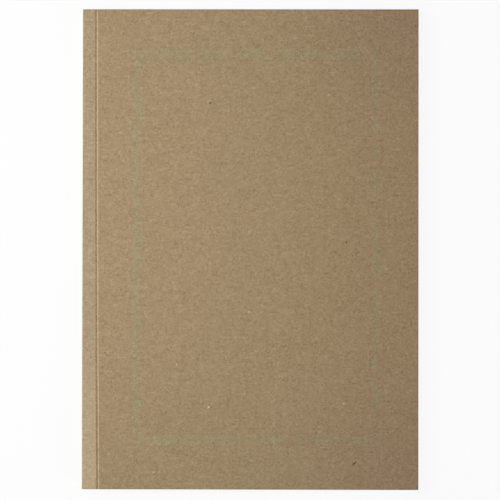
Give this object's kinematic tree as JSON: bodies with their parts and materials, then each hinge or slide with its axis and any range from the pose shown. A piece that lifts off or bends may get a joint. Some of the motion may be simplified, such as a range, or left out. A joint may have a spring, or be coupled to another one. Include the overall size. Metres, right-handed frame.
{
  "type": "softcover notebook",
  "caption": "Closed A5 softcover notebook with a scored kraft board cover glued round a block of paper leaves.",
  "frame": {"origin": "under the middle of the closed notebook, on the outer face of the back cover", "axes": "+X from the spine to the fore edge, +Y from the tail to the head, +Z out of the front cover"},
  "size_m": [0.147, 0.21, 0.0062],
  "materials": {
    "kraft_board": "uncoated brown kraft board, matte, flecked fibre",
    "paper": "uncoated off-white writing paper, matte",
    "binding_glue": "dry cream hot-melt adhesive, satin"
  },
  "bodies": {
    "root": {"back_spine_wrap": "kraft_board", "back_spine_glue": "binding_glue", "back_side_glue": "binding_glue", "leaf_31": "paper", "leaf_32": "paper", "leaf_33": "paper", "leaf_34": "paper", "leaf_35": "paper", "leaf_36": "paper", "leaf_37": "paper", "leaf_38": "paper", "leaf_39": "paper", "leaf_40": "paper", "leaf_41": "paper", "leaf_42": "paper", "leaf_43": "paper", "leaf_44": "paper", "leaf_45": "paper", "leaf_46": "paper", "leaf_47": "paper", "leaf_48": "paper"},
    "front_block": {"front_spine_wrap": "kraft_board", "front_spine_glue": "binding_glue", "front_side_glue": "binding_glue", "leaf_01": "paper", "leaf_02": "paper", "leaf_03": "paper", "leaf_04": "paper", "leaf_05": "paper", "leaf_06": "paper", "leaf_07": "paper", "leaf_08": "paper", "leaf_09": "paper", "leaf_10": "paper", "leaf_11": "paper", "leaf_12": "paper", "leaf_13": "paper", "leaf_14": "paper", "leaf_15": "paper", "leaf_16": "paper", "leaf_17": "paper", "leaf_18": "paper"},
    "front_cover": {"front_cover_panel": "kraft_board"},
    "back_cover": {"back_cover_panel": "kraft_board"},
    "fan_19_20": {"leaf_19": "paper", "leaf_20": "paper"},
    "fan_21_22": {"leaf_21": "paper", "leaf_22": "paper"},
    "fan_23": {"leaf_23": "paper"},
    "fan_24": {"leaf_24": "paper"},
    "fan_25": {"leaf_25": "paper"},
    "fan_26": {"leaf_26": "paper"},
    "fan_27_28": {"leaf_27": "paper", "leaf_28": "paper"},
    "fan_29_30": {"leaf_29": "paper", "leaf_30": "paper"}
  },
  "joints": [
    {"name": "notebook_open", "type": "hinge", "parent": "root", "child": "front_block", "pos_m": [-0.0735, 0, 0.00312], "axis": [0, -1, 0], "range_deg": [0, 179.9]},
    {"name": "front_cover_fold", "type": "hinge", "parent": "front_block", "child": "front_cover", "pos_m": [-0.0671, 0, 0.00653], "axis": [0, -1, 0], "range_deg": [0, 179.9]},
    {"name": "back_cover_fold", "type": "hinge", "parent": "root", "child": "back_cover", "pos_m": [-0.0671, 0, -0.00005], "axis": [0, 1, 0], "range_deg": [0, 179.9]},
    {"name": "leaf_25_lift", "type": "hinge", "parent": "root", "child": "fan_25", "pos_m": [-0.0735, 0, 0.00312], "axis": [0, -1, 0], "range_deg": [0, 20]},
    {"name": "leaf_26_lift", "type": "hinge", "parent": "root", "child": "fan_26", "pos_m": [-0.0735, 0, 0.00312], "axis": [0, -1, 0], "range_deg": [0, 14]},
    {"name": "leaf_27_lift", "type": "hinge", "parent": "root", "child": "fan_27_28", "pos_m": [-0.0735, 0, 0.00312], "axis": [0, -1, 0], "range_deg": [0, 9]},
    {"name": "leaf_29_lift", "type": "hinge", "parent": "root", "child": "fan_29_30", "pos_m": [-0.0735, 0, 0.00312], "axis": [0, -1, 0], "range_deg": [0, 4]},
    {"name": "leaf_24_lift", "type": "hinge", "parent": "front_block", "child": "fan_24", "pos_m": [-0.0735, 0, 0.00312], "axis": [0, 1, 0], "range_deg": [0, 20]},
    {"name": "leaf_23_lift", "type": "hinge", "parent": "front_block", "child": "fan_23", "pos_m": [-0.0735, 0, 0.00312], "axis": [0, 1, 0], "range_deg": [0, 14]},
    {"name": "leaf_22_lift", "type": "hinge", "parent": "front_block", "child": "fan_21_22", "pos_m": [-0.0735, 0, 0.00312], "axis": [0, 1, 0], "range_deg": [0, 9]},
    {"name": "leaf_20_lift", "type": "hinge", "parent": "front_block", "child": "fan_19_20", "pos_m": [-0.0735, 0, 0.00312], "axis": [0, 1, 0], "range_deg": [0, 4]}
  ],
  "couplings": [
    {"joint": "leaf_25_lift", "follows": "notebook_open", "ratio": 0.11},
    {"joint": "leaf_26_lift", "follows": "notebook_open", "ratio": 0.075},
    {"joint": "leaf_27_lift", "follows": "notebook_open", "ratio": 0.045},
    {"joint": "leaf_29_lift", "follows": "notebook_open", "ratio": 0.02},
    {"joint": "leaf_24_lift", "follows": "notebook_open", "ratio": 0.11},
    {"joint": "leaf_23_lift", "follows": "notebook_open", "ratio": 0.075},
    {"joint": "leaf_22_lift", "follows": "notebook_open", "ratio": 0.045},
    {"joint": "leaf_20_lift", "follows": "notebook_open", "ratio": 0.02}
  ]
}
